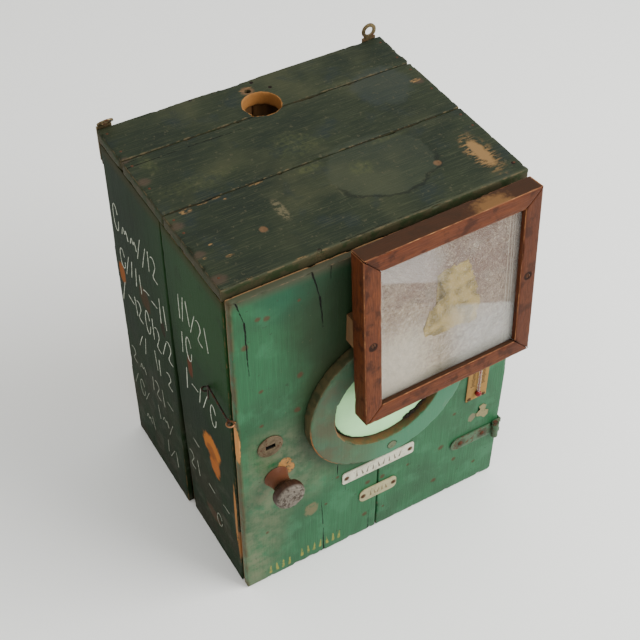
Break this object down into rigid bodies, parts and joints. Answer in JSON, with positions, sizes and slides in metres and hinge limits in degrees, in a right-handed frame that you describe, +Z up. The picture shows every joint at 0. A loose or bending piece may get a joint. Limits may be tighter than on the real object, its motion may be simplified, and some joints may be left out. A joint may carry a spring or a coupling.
{
  "type": "nesting box",
  "caption": "Small wooden box cabinet with a hinged front door, round window ring, tilted glazed frame on the door, turned knob, lock, side hook and rear hanger plates.",
  "frame": {"origin": "on the floor plane, centred on the case's width and depth", "axes": "+Z up, the door faces -Y, +X to the right when looking at the door"},
  "size_m": [0.3175, 0.3014, 0.431],
  "materials": {
    "green_paint_top": "worn dark green paint",
    "green_paint_side": "worn dark green paint",
    "green_paint_door": "worn green paint",
    "mint_paint": "flat pale green paint",
    "bare_wood": "unfinished softwood",
    "mahogany": "dull varnish",
    "dark_wood": "worn varnish",
    "brass": "tarnished",
    "iron": "rusty",
    "painted_iron": "worn green paint over rust",
    "white_plate": "worn enamel",
    "card": "yellowed, stands in for paper card",
    "red_spirit": "gloss, red liquid in glass",
    "backing_paper": "mottled grey, stands in for paper",
    "glass": "dusty"
  },
  "bodies": {
    "case": {"back_left_board": "bare_wood", "back_right_board": "bare_wood", "bottom_board": "bare_wood", "case_nails": "iron", "case_screws": "iron", "hanger_left": "brass", "hanger_right": "brass", "hanging_rail": "green_paint_side", "latch_keeper": "bare_wood", "left_board_tongue": "bare_wood", "left_front_board": "green_paint_side", "left_lower_batten": "bare_wood", "left_rear_board": "green_paint_side", "left_upper_batten": "bare_wood", "lower_hinge_pin": "iron", "lower_hinge_side_leaf": "painted_iron", "right_front_board": "green_paint_side", "right_lower_batten": "bare_wood", "right_rear_board": "green_paint_side", "right_upper_batten": "bare_wood", "top_front_board": "green_paint_top", "top_middle_board": "green_paint_top", "top_rear_board": "green_paint_top", "upper_hinge_pin": "iron", "upper_hinge_side_leaf": "painted_iron", "wall_eye": "brass"},
    "door": {"door_left_board": "green_paint_door", "door_right_board": "green_paint_door", "door_lower_batten": "bare_wood", "door_upper_batten": "bare_wood", "escutcheon": "brass", "lock_case": "iron", "window_ring": "green_paint_door", "ring_plugs": "green_paint_door", "window_panel": "mint_paint", "upper_plate": "white_plate", "lower_plate": "white_plate", "thermometer_card": "card", "thermometer_bulb": "red_spirit", "thermometer_tube": "glass", "small_screws": "brass", "door_eye": "brass", "frame_top_rail": "mahogany", "frame_bottom_rail": "mahogany", "frame_left_stile": "mahogany", "frame_right_stile": "mahogany", "frame_glass": "glass", "frame_backing": "backing_paper", "frame_left_spacer": "bare_wood", "frame_right_spacer": "bare_wood", "frame_screws": "iron", "lower_hinge_strap": "painted_iron", "upper_hinge_strap": "painted_iron", "hinge_strap_screws": "iron"},
    "knob": {"knob": "dark_wood", "knob_spindle": "iron", "latch_bar": "iron"},
    "lock_bolt": {"lock_bolt": "brass"},
    "hook": {"side_hook": "iron"}
  },
  "joints": [
    {"name": "door_hinge", "type": "hinge", "parent": "case", "child": "door", "pos_m": [0.1462, -0.1385, 0.1875], "axis": [0, 0, 1], "range_deg": [0, 110]},
    {"name": "knob_turn", "type": "hinge", "parent": "door", "child": "knob", "pos_m": [-0.1155, -0.1344, 0.164], "axis": [0, 1, 0], "range_deg": [0, 90]},
    {"name": "lock_bolt_slide", "type": "slide", "parent": "door", "child": "lock_bolt", "axis": [-1, 0, 0], "range_m": [0, 0.008]},
    {"name": "hook_lift", "type": "hinge", "parent": "door", "child": "hook", "pos_m": [-0.1571, -0.1283, 0.262], "axis": [1, 0, 0], "range_deg": [0, 140]}
  ]
}
